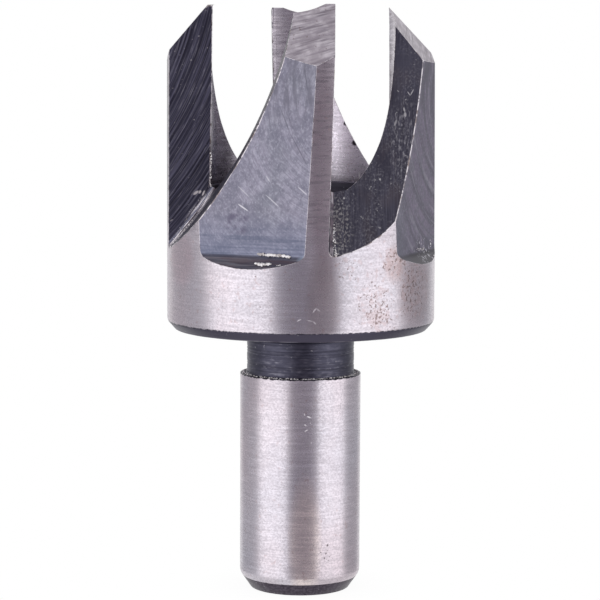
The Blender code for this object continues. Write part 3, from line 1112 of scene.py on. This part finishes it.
color = painted(tree, "#7F7B8A", [
    ("#6A6977", arcs),
    ("#9B99A8", fine_arcs),
    ("#626170", cloudy),
    ("#7F8A88", greenish, blued),
    ("#7E6A86", right_side),
    ("#4E4B59", grain(tree, marks, (1.0, 0.10, PER_TOOTH), 0.48, 0.56, 1.3), right_side),
    ("#A3A0AC", grain(tree, marks, (1.3, 0.12, PER_TOOTH), 0.54, 0.62, 1.3), right_side),
    ("#666573", scuffs),
    ("#A5A3B0", pale_scuffs),
    ("#605E6A", upright, high),
    ("#3C3844", runout),
    ("#676F88", low, blued),
    ("#4E5366", foot_lines, foot_band, blued),
    ("#4C4955", runout, blued),
    ("#7A7781", runout, runout_lines, blued),
    ("#55444B", runout, grain(tree, place, (0.5, 0.5, 6.0), 0.45, 0.6, 0.55), blued),
    ("#2C2933", patch(tree, place, (0, 0, 28.38), (90.0, 90.0, 0.13), most=0.6), blued),
    ("#7D8699", patch(tree, place, (0.2, -10.9, 28.1), (0.9, 0.6, 0.6), most=0.8)),
    ("#565264", smudge, smudged),
    ("#4E4A58", upright, lower_right),
    ("#26232C", runout, patch(tree, place, (9.9, -3.0, 28.0), (4.0, 5.0, 4.0), most=0.7)),
    ("#CFCCD6", specks(tree, place, 3.6, 0.62, 0.9), lower_right),
    ("#DCDAE0", light),
    ("#50505B", dark),
])
set_metal(tree, color, 0.38, fine_arcs, 0.002)

# %% [markdown]
# The tips are sharpened last of all on a stone, so they are bare steel, a little greyer than the
# ground shank, with slanted lines.

# %% Finish the tips and the worn edges
tree = new_finish("honed_tool_steel_tip", "tip")
place = place_in_mm(tree)
marks = marks_in_mm(tree, swung=False)
strokes = grain(tree, marks, (2.6, 0.25, PER_TOOTH), 0.42, 0.6, 0.7)
fine_strokes = grain(tree, marks, (8.0, 0.5, PER_TOOTH), 0.42, 0.6, 0.7)
cloudy = grain(tree, place, (1.2, 1.2, 1.2), 0.4, 0.6, 0.6)
color = painted(tree, "#A79FA9", [
    ("#625A65", strokes),
    ("#C6BFC7", fine_strokes),
    ("#857C86", cloudy),
    ("#6A5A58", specks(tree, place, 4.0, 0.70, 0.6)),
])
set_metal(tree, color, 0.36, fine_strokes, 0.003)

tree = new_finish("bare_steel_worn_edge", "worn")
place = place_in_mm(tree)
broken = grain(tree, place, (2.2, 2.2, 2.2), 0.50, 0.58, 0.85)
brown = grain(tree, place, (1.1, 1.1, 1.1), 0.5, 0.65, 0.7)
color = painted(tree, "#D6D0D6", [("#6A6670", broken), ("#8A7A74", brown)])
set_metal(tree, color, 0.36, broken, 0.004)
print("slots:", ", ".join(material.name for material in cutter.data.materials))

# %% [markdown]
# Oil and wood dust have dried into pale crumbs in the corners that nobody wipes: on the shoulder, at
# the feet of the flats and in the corners of the gullets, most of them on the side of the photo.
# Each is a small ball pushed out of shape by noise, and they are strewn along lines on the steel.
# Dry dust is matte, so it looks pale from every side. Both kinds of chance start from a fixed
# number, so the crumbs are the same each time.

# %% Strew dust crumbs in the corners
SEED = 5
BUMPS_PER_MM = 9.0
BUMP_SHARE = 0.6
SMALLEST_SHARE = 0.35
STRAY_SHARES = Vector((1.0, 1.0, 0.4))
SHOULDER_DUST_RADIUS = 4.74
SHOULDER = [
    (SHOULDER_DUST_RADIUS * math.cos(turn), SHOULDER_DUST_RADIUS * math.sin(turn), SHANK_LENGTH)
    for turn in [math.radians(degrees) for degrees in range(-180, 181, 12)]
]
FOOT = [(-3.61, -9.53, 28.61), (-2.67, -9.95, 28.57), (-1.90, -10.29, 28.56), (-1.11, -10.64, 28.48)]
CORNER = [(2.35, -8.75, 30.94), (2.36, -9.21, 30.35), (2.39, -9.95, 29.45), (2.50, -10.72, 28.58)]
FACE_FOOT = [(-10.6, -2.15, 28.9), (-9.94, -2.0, 29.95), (-9.12, -2.0, 31.2), (-8.3, -2.05, 32.4),
             (-7.4, -2.1, 33.3)]
# Each line has its points, its crumbs per mm, the largest crumb and how far they stray from it
DUST_LINES = [
    (SHOULDER, 20, 0.08, 0.075),
    (FOOT, 40, 0.12, 0.05),
    ([(-3.69, -9.96, 27.90), (-3.22, -10.27, 27.82), (-2.67, -10.40, 27.91)], 40, 0.12, 0.06),
    ([(-2.27, -10.67, 27.78), (-1.80, -10.77, 27.87)], 8, 0.05, 0.03),
    (CORNER, 22, 0.075, 0.06),
    ([(2.52, -10.62, 28.66), (3.09, -10.40, 28.92)], 7, 0.05, 0.06),
    ([(-7.41, -2.10, 36.47), (-7.45, -2.07, 34.85), (-7.40, -2.00, 33.00)], 10, 0.07, 0.04),
    (FACE_FOOT, 6, 0.035, 0.10),
    ([(9.00, -4.60, 28.55), (9.42, -3.68, 28.62), (9.97, -2.60, 28.32)], 13, 0.065, 0.16),
    ([(10.00, -2.62, 27.95), (10.86, -1.39, 27.85)], 14, 0.07, 0.06),
    ([(10.66, -0.95, 28.5), (10.64, -0.9, 29.2)], 7, 0.06, 0.04),
]
for turns in (1, 2):
    turned = Matrix.Rotation(-TOOTH_TURN * turns, 3, "Z")
    DUST_LINES.append(([turned @ Vector(point) for point in FOOT], 14, 0.08, 0.08))
    DUST_LINES.append(([turned @ Vector(point) for point in CORNER], 12, 0.07, 0.06))


def crumb(bm, place, size):
    made = bmesh.ops.create_icosphere(bm, subdivisions=1, radius=size,
                                      matrix=Matrix.Translation(place))
    for vertex in made["verts"]:
        vertex.co += noise.noise_vector(vertex.co * BUMPS_PER_MM) * size * BUMP_SHARE


def strew(bm, points, per_mm, largest, stray):
    points = [Vector(point) for point in points]
    for start, end in zip(points, points[1:]):
        for _ in range(round((end - start).length * per_mm)):
            place = start.lerp(end, random.random())
            place += Vector([random.gauss(0.0, stray) for _ in range(3)]) * STRAY_SHARES
            crumb(bm, place, largest * random.uniform(SMALLEST_SHARE, 1.0))


random.seed(SEED)
noise.seed_set(SEED)
bm = bmesh.new()
for line in DUST_LINES:
    strew(bm, *line)
bmesh.ops.recalc_face_normals(bm, faces=bm.faces)
dust = link_object("dried_dust", bm)
dust.data.shade_smooth()
dust_material = new_material("dried_oily_wood_dust")
tree = dust_material.node_tree
uneven = grain(tree, place_in_mm(tree), (2.5, 2.5, 2.5), 0.45, 0.65)
color = painted(tree, "#F8F4F7", [("#BDB5B6", uneven)])
shader = add(tree, "BsdfPrincipled", {"Base Color": color, "Roughness": 0.8})
add(tree, "OutputMaterial", {"Surface": shader.outputs[0]})
dust.data.materials.append(dust_material)
print("crumbs of 20 faces:", len(dust.data.polygons) // 20)

# %% [markdown]
# The frame is in metres, so both meshes are scaled down at the end. The tool has no moving parts:
# the cutter stands for the plain solid and the dust rides along with it.

# %% Scale to metres
for piece in (cutter, dust):
    piece.data.transform(Matrix.Scale(MM, 4))
    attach(piece, "root")
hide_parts("plug_cutter")
print("height in metres:", round(cutter.dimensions.z, 5))
